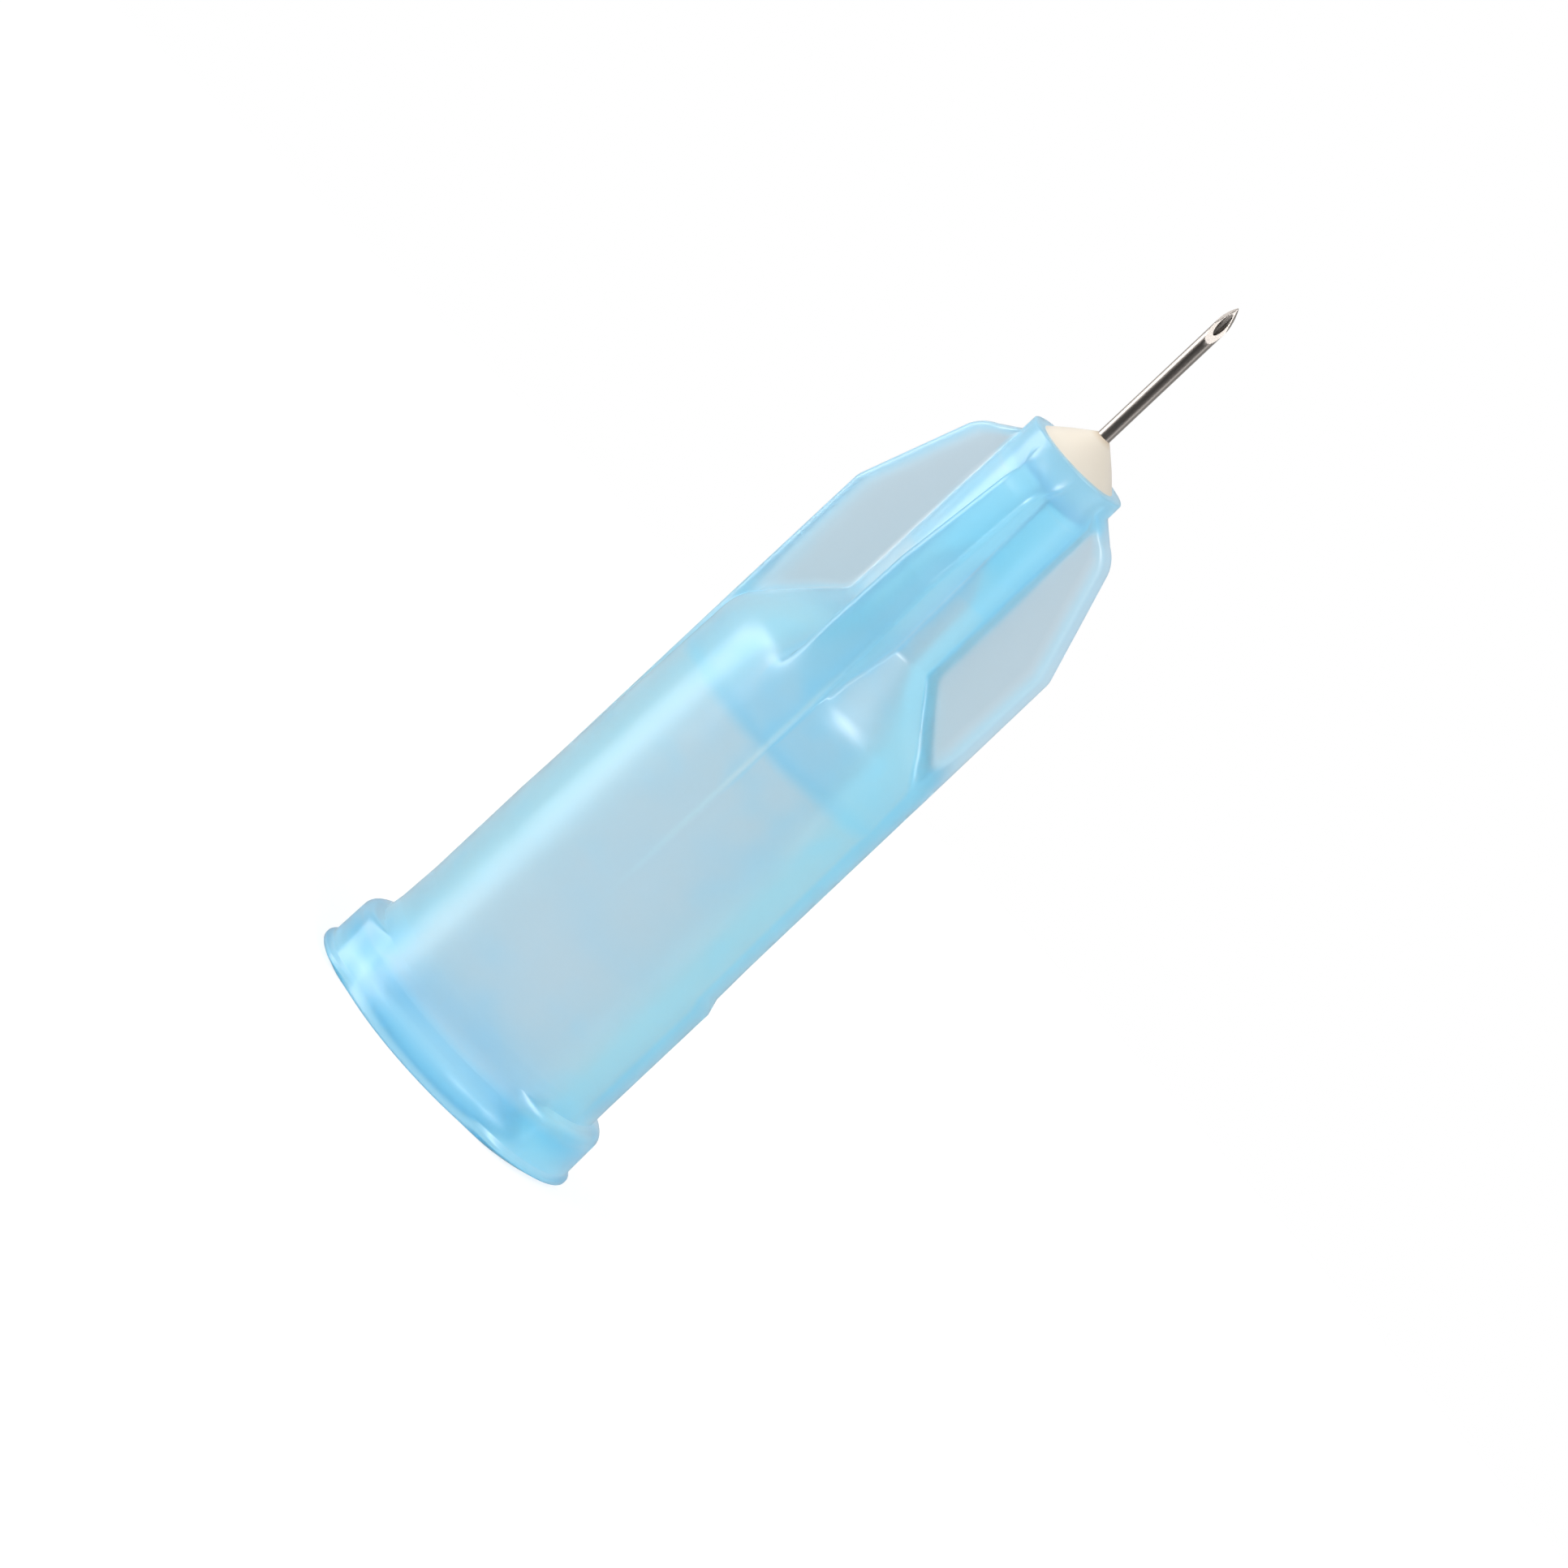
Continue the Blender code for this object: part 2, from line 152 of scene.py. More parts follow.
class BarrelSettings(PropertyGroup):
    """Sizes of the hub's turned body."""
    radius: length("Barrel radius", "Outer radius of the barrel near the collar", 3.26)
    rib_radius: length("Radius at the ribs", "Barrel radius where the ribs start", 3.25)
    front_radius: length("Radius at the shoulder", "Barrel radius where the shoulder starts", 3.09)
    rib_start: length("Rib start", "Height where the ribs rise out of the barrel", 5.70)
    flare: length("Flare", "How much the barrel widens at the collar", 0.11)
    flare_length: length("Flare length", "Length over which the barrel widens", 1.50)
    ring_height: length("Ring height", "Height of the collar's straight side", 1.10)
    ring_step: length("Ring step", "Step half way up the collar", 0.02)
    ring_step_height: length("Step height", "Height of that step", 0.60)
    rear_round: length("Rear rounding", "Radius of the collar's rear edge", 0.08)
    ring_round: length("Ring rounding", "Radius of the collar's front edge", 0.25)
    ring_fillet: length("Ring fillet", "Radius between the collar and the barrel", 0.30)
    collar_height: length("Collar height", "Where the collar's round front meets the barrel", 1.50)
    shoulder_start: length("Shoulder start", "Height where the shoulder cone starts", 12.35)
    shoulder_angle: angle("Shoulder angle", "Between the shoulder cone and the axis", 40)
    shoulder_round: length("Shoulder rounding", "Radius of the shoulder's rear edge", 1.30)
    neck_round: length("Neck rounding", "Radius between the shoulder and the nose", 0.30)
    nose_rear_radius: length("Nose radius", "Radius of the nose at the shoulder", 1.47)
    nose_rim_radius: length("Rim radius", "Radius of the nose at its rim", 1.39)


class FinSettings(PropertyGroup):
    """Sizes of the four fins."""
    thickness: length("Thickness", "Fin thickness along the barrel", 1.22)
    front_thickness: length("Front thickness", "Fin thickness at the nose", 0.84)
    overrun: length("Overrun", "How far the fins run on inside the nose", 0.25)
    kink_radius: length("Kink radius", "Reach of the fin's edge where its taper starts", 3.20)
    kink_height: length("Kink height", "Height where the taper starts", 16.10)
    taper: angle("Taper", "Between the tapered edge and the axis", 18.5)
    crown_angle: angle("Crown angle", "Between the crown and the axis", 63)
    corner_radius: length("Corner radius", "Radius between the taper and the crown", 0.90)
    setback: length("Setback", "Of the crown behind the nose rim", 0.55)
    edge_round: length("Edge rounding", "Radius of a fin's long edges", 0.18)
    rib_ramp: length("Rib ramp", "Width of the slope on a rib's softer side, down on the barrel", 1.25)
    # Edge line is the width of a painted highlight: a pale line for the light seen along a rib's sharp side
    line: length("Edge line", "Width of the pale line along a rib's sharp side", 0.07)
    root_round: length("Root rounding", "Fillet between a fin and the nose", 0.22)
    # Border and side rib are widths of painted shade: the deeper blue of light that runs a long way through
    # the plastic
    border: length("Border", "Width of the deeper blue along a fin's edge", 0.32)
    side_rib: length("Side rib", "Half width of the deeper blue along the barrel's two side ribs", 0.75)


class LugSettings(PropertyGroup):
    """Sizes of the two locking lugs and of the pad."""
    lip: length("Lip", "How far the rear lip stands out of the lug's side", 0.13)
    lip_start: length("Lip start", "Height where the lip's flat edge starts", 0.13)
    lip_end: length("Lip end", "Height where it ends", 0.23)
    side_start: length("Side start", "Height where the lug's side starts", 0.33)
    corner_radius: length("Corner radius", "Radius of the lug's front corner", 0.27)
    rear_span: angle("Rear span", "Angle that a lug covers at the rear", 97)
    front_span: angle("Front span", "Angle that a lug covers at the front", 80)
    rear_chamfer: length("Rear chamfer", "Chamfer of the lug's rear edge", 0.34)
    end_slope: angle("End slope", "Angle over which a lug's end rises out of the collar", 19)
    pad_height: length("Pad height", "Of the pad on the barrel's side", 0.12)
    pad_end: length("Pad end", "Height where the pad starts to slope down", 5.25)
    pad_slope: length("Pad slope", "Length of that slope", 0.35)
    pad_span: angle("Pad span", "Angle that the pad covers", 40)
    pad_side: angle("Pad side", "Angle over which the pad's sides slope down", 30)


class CavitySettings(PropertyGroup):
    """Sizes of the socket, funnel, chamber and well inside the hub."""
    mouth_radius: length("Mouth radius", "Of the Luer socket", 2.15)
    luer_taper: share("Luer taper", "Change of diameter for each unit of length", 0.06)
    socket_depth: length("Socket depth", "From the rear face to the socket's floor", 10.60)
    lead_in: length("Lead-in", "Chamfer of the socket's mouth", 0.10)
    step_radius: length("Step radius", "Of the narrower hollow ahead of the socket", 1.55)
    step_slope: length("Step slope", "How much the step between them slopes forward", 0.25)
    funnel_start: length("Funnel start", "Height where the funnel starts", 12.20)
    funnel_radius: length("Funnel radius", "Radius where the funnel starts", 1.45)
    funnel_end: length("Funnel end", "Height where the funnel ends", 13.90)
    chamber_radius: length("Chamber radius", "Of the chamber behind the cannula", 0.68)
    chamber_draft: length("Chamber draft", "How much the chamber narrows", 0.08)
    chamber_end: length("Chamber end", "Height where the chamber starts to close", 16.10)
    chamber_cone: length("Chamber cone", "Length over which it closes", 0.90)
    well_radius: length("Well radius", "Of the resin well at the rim", 1.07)
    well_draft: length("Well draft", "How much the well narrows", 0.05)
    well_depth: length("Well depth", "Of the resin well", 0.95)
    floor_cone: length("Floor cone", "Depth of the cone in the well's floor", 0.20)


class HubFinish(PropertyGroup):
    """Blue polypropylene."""
    # Fin is painted shade: the grey of light coming through a thin fin plate, laid on the two fins along X
    window_painted_shade: colour("Fin", "Colour of the fins' thin plates", "#DBDDE4")
    thin: colour("Thin wall", "Colour where the wall is thin", "#F8F0F3")
    thick: colour("Thick wall", "Colour where the plastic is deep", "#CEEEFF")
    rear: colour("Rear edge", "Colour of the collar's rear edge", "#98D8F6")
    haze: share("Haze", "How much the milky plastic spreads the light that passes", 0.50)
    skin: share("Skin roughness", "Of the smooth skin that the mould leaves", 0.28)
    clarity: share("Clarity", "Share of the light that passes", 0.875)
    thin_wall: length("Thin below", "Depth of plastic up to which a wall counts as thin", 1.35)
    thick_wall: length("Thick above", "Depth of plastic from which a wall counts as thick", 2.3)
    clouds: length("Clouds", "How much the milkiness varies, as a depth of plastic", 1.0)
    depth_reach: length("Depth reach", "How far behind a point its plastic is measured", 4.0)
    depth_blur: count("Depth blur", "Rounds of smoothing of that measure", 30, 0, 100)
    arc_steps: count("Arc steps", "Steps along each rounded edge", 7, 3, 16)


class ResinSettings(PropertyGroup):
    """Cream resin round the cannula."""
    meniscus_width: length("Meniscus width", "Of the ring of resin at the cannula", 0.08)
    meniscus_height: length("Meniscus height", "How far it creeps up the cannula", 0.06)
    crown: length("Crown", "How far the dome bulges past a straight cone", 0.01)
    cream: colour("Cream", "Colour of the cured resin", "#E7DECF")
    # Clear and Foot are painted light: the pale blue that light from the blue hub gives the resin in the well
    clear: colour("Clear", "Colour of the resin in the well, where it is clearer", "#D2ECF3")
    foot: colour("Foot", "Colour at the foot of the well, where the blue hub shows through", "#AFDBF2")
    warm: colour("Warm", "Colour of the resin where it is thin", "#D8C7B0")
    steps: count("Steps", "Steps round the axis", 96, 24, 256)


class CannulaSettings(PropertyGroup):
    """Steel tube and its lancet point."""
    reach: length("Reach", "How far the unground tube would stand out of the hub", 5.00)
    lumen: length("Lumen radius", "Radius of the tube's bore", 0.095)
    bevel_angle: angle("Bevel angle", "Between the bevel and the axis", 18)
    bevel_facing: angle("Bevel facing", "Direction that the bevel faces, from +X", -67)
    lancet_angle: angle("Facet angle", "Between the side facets and the axis", 24)
    lancet_turn: angle("Facet turn", "Of the side facets from the bevel", 38)
    lancet_depth: length("Facet depth", "How far the side facets shorten the point", 0.03)
    steel: colour("Steel", "Colour of the tube", "#B4ADA7")
    # Blasted steel is painted light: the tube inside the hub is painted pale and dull, so that it shows
    # through the milky plastic as light, not as dark lines
    pale_painted_light: colour("Blasted steel", "Colour of the tube's glued end, blasted to hold the resin", "#F2F6FA")
    steps: count("Steps", "Steps round the axis", 96, 24, 256)


class StageSettings(PropertyGroup):
    """Floor, light and camera."""
    floor_radius: length("Floor radius", "Of the pale floor", 70)
    azimuth: angle("Azimuth", "Camera's turn about the needle", 12.5)
    elevation: angle("Elevation", "Camera's height above the needle's middle", 9.85)
    roll: angle("Roll", "Turn of the picture, which lays the needle over to the right", 46.76)
    distance: length("Distance", "From the needle to the camera", 400)
    lens: FloatProperty(name="Lens", description="Focal length in millimetres", default=409.0)
    aim_height: length("Aim height", "Height that the camera looks at", 12.5)
    aim_right: length("Aim right", "Shift of the aim across the needle", 0.75)
    aim_up: length("Aim up", "Shift of the aim along the needle", -2.373)
    pale: colour("Pale", "Colour of the floor", "#F6F6F6")
    diffuse_level: share("Room light", "Level of the light that the room gives matt surfaces", 0.40, 2.0)
    glow: share("Glow", "Brightness of the white that the floor shows besides its own colour", 1.16, 2.0)
    glow_share: share("Glow share", "Share of that white", 0.70)


class NeedleSettings(PropertyGroup):
    barrel: PointerProperty(type=BarrelSettings)
    fin: PointerProperty(type=FinSettings)
    lug: PointerProperty(type=LugSettings)
    cavity: PointerProperty(type=CavitySettings)
    finish: PointerProperty(type=HubFinish)
    resin: PointerProperty(type=ResinSettings)
    cannula: PointerProperty(type=CannulaSettings)
    stage: PointerProperty(type=StageSettings)


def pick(sockets, name):
    """Socket of an index or a name; of several with one name, the one in use."""
    if isinstance(name, int):
        return sockets[name]
    return next(s for s in sockets if s.name == name and s.enabled)


def add_node(tree, kind, inputs=None, output=0, **settings):
    """Adds a node, sets its attributes and inputs, links sockets, and returns one of its outputs."""
    node = tree.nodes.new(kind)
    for name, value in settings.items():
        setattr(node, name, value)
    for name, value in (inputs or {}).items():
        socket = pick(node.inputs, name)
        if isinstance(value, bpy.types.NodeSocket):
            tree.links.new(value, socket)
        else:
            socket.default_value = value
    enabled = [s for s in node.outputs if s.enabled]
    if not enabled:
        return None
    return enabled[output] if isinstance(output, int) else pick(enabled, output)


def new_tree(name, inputs):
    """Geometry nodes tree with a geometry input and output and named inputs; returns it and its sockets."""
    tree = bpy.data.node_groups.new(name, "GeometryNodeTree")
    tree.is_modifier = True
    tree.interface.new_socket("Geometry", in_out="INPUT", socket_type="NodeSocketGeometry")
    for title, kind in inputs.items():
        tree.interface.new_socket(title, in_out="INPUT", socket_type="NodeSocket" + kind)
    tree.interface.new_socket("Geometry", in_out="OUTPUT", socket_type="NodeSocketGeometry")
    return tree, tree.nodes.new("NodeGroupInput").outputs


def end_tree(tree, geometry, material):
    whole = add_node(tree, "GeometryNodeRealizeInstances", {"Geometry": geometry})
    finished = add_node(tree, "GeometryNodeSetMaterial", {"Geometry": whole, "Material": material})
    add_node(tree, "NodeGroupOutput", {"Geometry": finished})
    return tree


def rgba(value):
    return (*value, 1)


def arc(centre, radius, start, end, steps):
    """Points (r, z) along an arc; angles are measured from +r towards +z."""
    turns = [start + (end - start) * i / steps for i in range(steps + 1)]
    return [(centre[0] + radius * math.cos(a), centre[1] + radius * math.sin(a)) for a in turns]


def rounded(before, corner, after, radius, steps):
    """Arc that rounds the corner of an (r, z) outline, tangent to both of its sides."""
    corner = Vector(corner[:2])
    a = Vector(before[:2]) - corner
    b = Vector(after[:2]) - corner
    half = a.angle(b) / 2
    reach = min(radius / math.tan(half), 0.49 * a.length, 0.49 * b.length)  # neighbours don't meet
    a.normalize()
    b.normalize()
    middle = corner + (a + b).normalized() * reach / math.cos(half)
    start = corner + a * reach - middle
    end = corner + b * reach - middle
    first = math.atan2(start.y, start.x)
    turn = (math.atan2(end.y, end.x) - first + math.pi) % (2 * math.pi) - math.pi
    return arc(middle, start.length, first, first + turn, steps)


def soft_max(a, b, width):
    """The larger of two radii, with a fillet where they are nearly equal."""
    part = np.clip(0.5 + 0.5 * (a - b) / width, 0, 1)
    return b + (a - b) * part + width * part * (1 - part)


def window(distance, half, softness):
    """1 inside a span, 0 outside it, with an even fall across its edge."""
    t = np.clip((half - distance) / softness + 0.5, 0, 1)
    return t * t * (3 - 2 * t)


def barrel_outline(b, steps):
    """Outer (r, z) outline of the turned body, from the rear face up to the rim."""
    cone = (b.front_radius - b.nose_rear_radius) / math.tan(b.shoulder_angle)
    rim = (b.nose_rim_radius, HUB_LENGTH)
    neck = (b.nose_rear_radius, b.shoulder_start + cone)
    shoulder = (b.front_radius, b.shoulder_start)
    rib = (b.rib_radius, b.rib_start)
    top = (b.radius + b.flare, b.collar_height)
    bend = (b.radius + b.flare * 0.4, b.collar_height + b.flare_length / 3)
    end = (b.radius, b.collar_height + b.flare_length)
    step = (RING_RADIUS, b.ring_step_height)
    front = RING_RADIUS - b.ring_step
    outline = rounded((0, 0), (RING_RADIUS, 0), step, b.rear_round, steps)
    outline += [step, (front, b.ring_step_height + b.ring_step)]
    outline += rounded(step, (front, b.ring_height), top, b.ring_round, steps)
    outline += rounded((front, b.ring_height), top, bend, b.ring_fillet, steps)
    outline += rounded(top, bend, end, SLIGHT_BEND, steps)
    outline += rounded(bend, end, rib, GENTLE_BEND, steps)
    outline += [rib]
    outline += rounded(rib, shoulder, neck, b.shoulder_round, steps)
    outline += rounded(shoulder, neck, rim, b.neck_round, steps)
    outline += rounded(neck, rim, (0, HUB_LENGTH), FINE_ROUND, steps)
    return outline


def fin_outline(f, b, steps):
    """Outer (r, z) outline of a fin, from under the barrel's surface where its rib starts up to the nose."""
    kink = Vector((f.kink_radius, f.kink_height))
    foot = Vector((b.nose_rim_radius, HUB_LENGTH - f.setback))
    taper = Vector((-math.sin(f.taper), math.cos(f.taper)))
    crown = Vector((-math.sin(f.crown_angle), math.cos(f.crown_angle)))
    corner = kink + taper * (foot - kink).cross(crown) / taper.cross(crown)
    apex = foot + crown * f.overrun
    start = (b.rib_radius - 0.01 * MM, b.rib_start - 0.5 * MM)  # just under the barrel's surface
    outline = [start] + rounded(start, kink, corner, SLIGHT_BEND, steps)
    outline += rounded(kink, corner, apex, f.corner_radius, 2 * steps)
    return outline + [tuple(apex)]


def lug_outline(g, b, steps):
    """Outer (r, z) outline of a lug: rear chamfer, thin lip, side, round front corner and its foot."""
    side = LUG_LIP_RADIUS - g.lip
    rear = (LUG_LIP_RADIUS - g.rear_chamfer, 0)
    lip = [(LUG_LIP_RADIUS, g.lip_start), (LUG_LIP_RADIUS, g.lip_end)]
    neck = (side + 0.02 * MM, g.side_start)
    top = (side, b.collar_height)
    outline = [rear] + rounded(rear, lip[0], lip[1], FINE_ROUND, steps)
    outline += rounded(lip[0], lip[1], neck, FINE_ROUND, steps)
    outline += rounded(lip[1], neck, top, 0.06 * MM, steps)
    centre = (side - g.corner_radius, b.collar_height - g.corner_radius)
    outline += arc(centre, g.corner_radius, 0, math.radians(84), steps)  # so that the outline still rises
    return outline + [(b.radius + b.flare, b.collar_height + 0.05 * MM)]


def heights(outlines, gap):
    """Heights of all points of the outlines, with more between them where they lie far apart."""
    found = sorted(z for outline in outlines for _, z in outline if 0 <= z <= HUB_LENGTH)
    kept = [0.0]
    for z in found:
        if z - kept[-1] < LEAST_GAP and z < HUB_LENGTH:
            continue
        parts = max(1, math.ceil((z - kept[-1]) / gap))
        kept += [kept[-1] + (z - kept[-1]) * (i + 1) / parts for i in range(parts)]
    return np.array(kept)


def along(height, outline):
    return np.interp(height, [z for _, z in outline], [r for r, _ in outline])


def spread(stops, counts):
    """Columns between stops: each row's stops are joined by the given counts of even steps."""
    parts = [a + (b - a) * np.arange(n) / n for a, b, n in zip(stops, stops[1:], counts)]
    return np.hstack(parts + [stops[-1]])


def fin_section(edge, half, rounding, turn):
    """Radius of one fin's section at each direction: round outer edge, two soft corners and a flank."""
    reach = np.maximum(edge - rounding, 1e-6)
    middle = np.arcsin(np.clip((half - rounding) / reach, -1, 1))
    flank_from = np.arctan2(half, reach * np.cos(middle))
    off = turn - middle
    corner = reach * np.cos(off) + np.sqrt(np.maximum(rounding ** 2 - (reach * np.sin(off)) ** 2, 0))
    flank = half / np.sin(np.maximum(turn, 1e-3))
    return np.where(turn <= middle, edge, np.where(turn < flank_from, corner, flank))


def outer_skin(settings):
    """Directions, radii and heights of the hub's outside: a turned body, four fins, two lugs and a pad."""
    b, f, g, steps = settings.barrel, settings.fin, settings.lug, settings.finish.arc_steps
    body, fin, lug = barrel_outline(b, steps), fin_outline(f, b, steps), lug_outline(g, b, steps)
    pad = [(0, g.pad_end), (0, g.pad_end + g.pad_slope)]
    z = heights([body, fin, lug, pad], ROW_GAP)[:, None]
    round_body = along(z, body)
    fin_front = HUB_LENGTH - f.setback
    half = np.interp(z, [b.shoulder_start, fin_front + 0.5 * MM], [f.thickness / 2, f.front_thickness / 2])
    edge = along(z, fin)
    inside = edge - 0.1 * MM  # where the bluer border starts to fade
    reach = edge - f.edge_round
    middle = np.arcsin((half - f.edge_round) / reach)
    flank_from = np.arctan2(half, reach * np.cos(middle))

    # Columns of points follow the fin's edge, border and root, and stay a degree or more apart
    root = np.maximum(np.arcsin(np.clip(half / round_body, 0, 0.5)), flank_from + math.radians(3))
    border = np.arcsin(np.clip(half / np.maximum(inside - f.border, round_body), 0, 0.6))
    border = np.clip(border, flank_from + math.radians(1), root - math.radians(1))
    stops = [0 * z, middle, flank_from, border, root, root + math.radians(6), 0 * z + math.pi / 4]
    octant = spread(stops, OCTANT_STEPS)
    quadrant = np.hstack([octant, math.pi / 2 - octant[:, -2:0:-1]])
    theta = np.hstack([quadrant + math.pi / 2 * k for k in range(4)])
    from_fin = np.tile(np.hstack([octant, octant[:, -2:0:-1]]), 4)
    to_x = np.abs((theta + math.pi) % (2 * math.pi) - math.pi)
    slope = np.clip((g.pad_end + g.pad_slope - z) / g.pad_slope, 0, 1) * (z > b.collar_height)
    lift = np.maximum(b.radius + g.pad_height - round_body, 0) * slope
    radius = round_body + lift * window(to_x, g.pad_span / 2, g.pad_side)

    # Fins: one side of each low rib is a soft slope, the other a sharp edge with a pale line along it, a
    # painted highlight for the light seen along that edge
    soft_side = np.tile(np.hstack([0 * octant[0], 1 + 0 * octant[0, 2:]]), 4)
    sideways = np.where(np.abs(np.cos(theta)) > np.abs(np.sin(theta)), 1, 0)
    above = z - b.shoulder_start
    low = np.interp(above, [0, RIB_BLEND], [1, 0])
    fins = fin_section(edge, half, f.edge_round, from_fin)
    ramp = radius + (edge - radius) * window(from_fin, half / round_body, f.rib_ramp / round_body)
    fins = fins + (ramp - fins) * low * soft_side
    fillet = f.root_round * (1 - sideways * (1 - soft_side)) * np.interp(above, [0, ROOT_BLEND], [0, 1])
    finned = soft_max(radius, fins, FIN_RISE + fillet)
    radius = np.where((z > fin[0][1]) & (z <= fin[-1][1]), np.maximum(finned, radius), radius)
    # Painted highlight: a pale line along each rib's sharp edge, fading in up the barrel and gone past the
    # shoulder
    off_line = (from_fin - (middle + flank_from) / 2) * edge / f.line
    line = np.exp(-off_line ** 2) * np.interp(z, [b.rib_start, b.rib_start + 3 * MM], [0, 1]) * low
    line = line * (1 - soft_side)

    span = np.interp(z, [0, b.collar_height], [g.rear_span, g.front_span])
    lugs = np.where(z <= lug[-1][1], along(z, lug), 0)
    radius += np.maximum(lugs - radius, 0) * window(np.minimum(to_x, math.pi - to_x), span / 2, g.end_slope)

    # Colours, all painted shade for the way light passes through the plastic towards the camera: grey windows
    # in the two fins along X, where it comes dimmed through a thin plate, and a bluer border round them, down
    # their ribs and over the fins along Y, where it runs a long way
    rise = radius - round_body - FIN_RISE
    on_fin = np.clip(rise / FIN_FADE, 0, 1) * np.clip(above / COLOUR_BLEND, 0, 1)
    from_body = np.clip(rise / np.interp(above, WINDOW_BLEND, [WINDOW_FADE, FIN_FADE]), 0, 1)
    from_edge = np.clip((inside - radius) / f.border, 0, 1)
    window_painted_shade = on_fin * from_body * from_edge * sideways
    side_rib = window(from_fin, f.side_rib / round_body, 0.3 * MM / round_body) * sideways
    side_rib = side_rib * np.interp(z, [b.collar_height, b.collar_height + ROOT_BLEND], [0, 1])
    side_rib = side_rib * np.interp(above, [0, ROOT_BLEND], [1, 0])
    bluer = np.maximum(on_fin - window_painted_shade, side_rib)
    return theta, radius, z, {"fin_window_painted_shade": window_painted_shade, "fin_border_painted_shade": bluer, "edge_painted_highlight": line}


def cavity_outline(c, steps):
    """Inner (r, z) outline, from the rim down the well, bore, chamber, funnel and socket to the rear face."""
    bore = CANNULA_RADIUS - LAP
    floor = HUB_LENGTH - c.well_depth
    bottom = c.mouth_radius - c.socket_depth * c.luer_taper / 2
    wall = c.well_radius - c.well_draft
    outside = c.mouth_radius + 0.4 * MM  # on the flat rear face, past the mouth
    corners = [  # each with its rounding in millimetres
        ((c.well_radius, HUB_LENGTH), 0.02),
        ((wall, floor), 0.08),
        ((bore, floor - c.floor_cone), 0.04),
        ((bore, c.chamber_end + c.chamber_cone), 0.03),
        ((c.chamber_radius - c.chamber_draft, c.chamber_end), 0.50),
        ((c.chamber_radius, c.funnel_end), 0.30),
        ((c.funnel_radius, c.funnel_start), 0.35),
        ((c.step_radius, c.socket_depth + c.step_slope), 0.25),
        ((bottom, c.socket_depth), 0.30),
        ((c.mouth_radius, c.lead_in), 0.10),
        ((c.mouth_radius + c.lead_in, 0), 0.05)]
    ends = [(c.well_radius + 0.2 * MM, HUB_LENGTH)] + [p for p, _ in corners] + [(outside, 0)]
    outline = []
    for i, (corner, radius) in enumerate(corners):
        outline += rounded(ends[i], corner, ends[i + 2], radius * MM, steps)
    return outline + [(outside, 0), (RING_RADIUS - 0.4 * MM, 0)]


def hub_mesh(settings):
    """One closed skin: outside from rear to rim, then the inside from the rim back to the rear face."""
    theta, radius, z, marks = outer_skin(settings)
    inner = np.array(cavity_outline(settings.cavity, settings.finish.arc_steps))
    columns = theta.shape[1]
    even = np.arange(columns) / columns * 2 * math.pi
    theta = np.vstack([theta, np.repeat(even[None, :], len(inner), 0)])
    radius = np.vstack([radius, np.repeat(inner[:, :1], columns, 1)])
    z = np.repeat(np.vstack([z, inner[:, 1:]]), columns, 1)
    points = np.stack([radius * np.cos(theta), radius * np.sin(theta), z], -1)
    plain = np.zeros((len(inner), columns))
    marks = {name: np.vstack([mark, plain]) for name, mark in marks.items()}
    return grid_mesh("hub_moulding", points, marks)


def grid_mesh(name, points, attributes):
    """Closed ring of rings of points, joined by quads that face outwards, with named numbers on them."""
    rows, columns = points.shape[:2]
    index = np.arange(rows * columns).reshape(rows, columns)
    after = np.roll(index, -1, 1)
    faces = np.stack([index, after, np.roll(after, -1, 0), np.roll(index, -1, 0)], -1).reshape(-1, 4)
    mesh = bpy.data.meshes.new(name)
    mesh.from_pydata(points.reshape(-1, 3).tolist(), [], faces.tolist())
    for title, values in attributes.items():
        mesh.attributes.new(title, "FLOAT", "POINT").data.foreach_set("value", values.ravel())
    return outwards(mesh)


def outwards(mesh):
    """Merges doubles and turns all faces of a closed mesh outwards."""
    bm = bmesh.new()
    bm.from_mesh(mesh)
    bmesh.ops.remove_doubles(bm, verts=bm.verts, dist=MERGE)
    bmesh.ops.recalc_face_normals(bm, faces=bm.faces)
    if bm.calc_volume(signed=True) < 0:
        bmesh.ops.reverse_faces(bm, faces=bm.faces)
    bm.to_mesh(mesh)
    bm.free()
    return mesh


